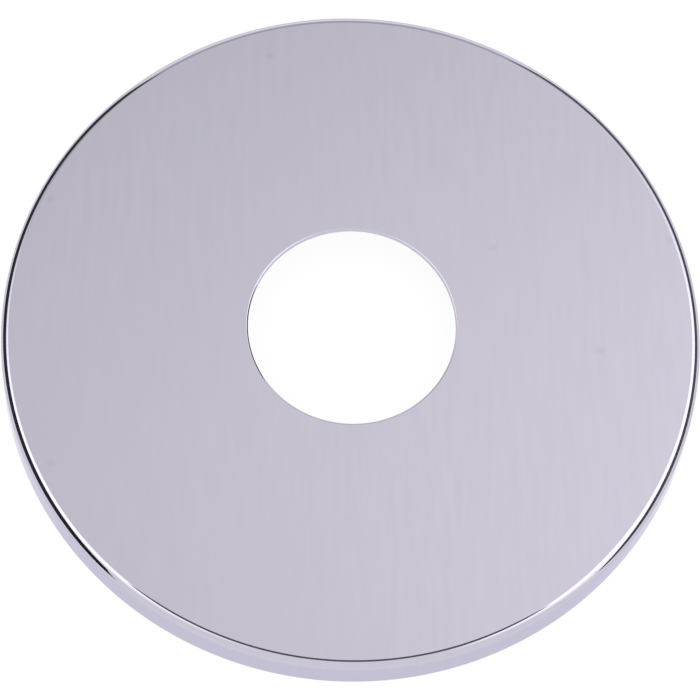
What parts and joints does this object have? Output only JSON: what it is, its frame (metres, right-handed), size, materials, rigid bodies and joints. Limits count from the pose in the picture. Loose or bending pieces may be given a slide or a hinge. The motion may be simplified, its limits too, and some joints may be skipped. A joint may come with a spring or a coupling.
{
  "type": "shower escutcheon",
  "caption": "Round pressed-sheet cover plate with a flat polished face, a rounded edge, a short skirt and a plain central hole for a shower arm; hides the opening in the wall.",
  "frame": {"origin": "centre of the rim, in the plane where the rim sits on the wall", "axes": "+Z along the axis of the plate and its hole, out of the wall and out of the polished face; X and Y in the wall plane"},
  "size_m": [0.075, 0.075, 0.0045],
  "materials": {
    "chrome_plate": "polished"
  },
  "bodies": {
    "root": {"escutcheon_plate": "chrome_plate"}
  },
  "joints": []
}
